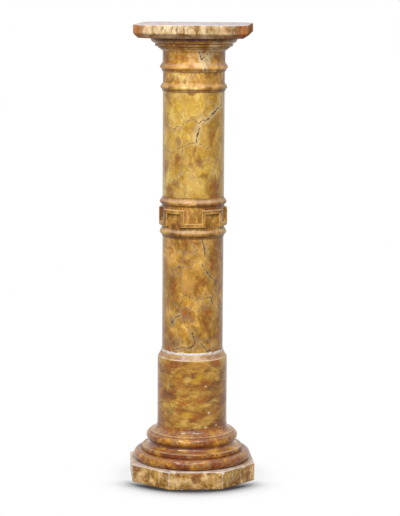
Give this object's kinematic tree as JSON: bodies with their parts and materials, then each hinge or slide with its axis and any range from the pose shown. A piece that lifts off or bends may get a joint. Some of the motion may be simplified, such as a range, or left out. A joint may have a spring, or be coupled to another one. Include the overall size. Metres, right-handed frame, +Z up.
{
  "type": "stone pedestal column",
  "caption": "Tall round marble pedestal column on an octagonal plinth, with a turned base, a Greek-key collar, ringed neck and a clipped square top slab.",
  "frame": {"origin": "centre of the plinth's underside", "axes": "+Z up the column's axis, -Y towards the front, where the key collar shows its low bridge"},
  "size_m": [0.3048, 0.3048, 1.1],
  "materials": {
    "plinth_marble": "worn polish, chalky bruised arrises",
    "base_marble": "high polish",
    "socle_marble": "polished",
    "filler_plaster": "chalky plaster",
    "lower_shaft_marble": "polished",
    "collar_marble": "polished, carved",
    "upper_shaft_marble": "polished",
    "neck_marble": "polished",
    "capital_marble": "polished",
    "slab_marble": "polished, dusty top"
  },
  "bodies": {
    "root": {"plinth": "plinth_marble", "base": "base_marble", "socle_drum": "socle_marble", "joint_filler": "filler_plaster", "lower_shaft": "lower_shaft_marble", "key_collar": "collar_marble", "upper_shaft": "upper_shaft_marble", "neck_drum": "neck_marble", "capital": "capital_marble", "top_slab": "slab_marble"}
  },
  "joints": []
}
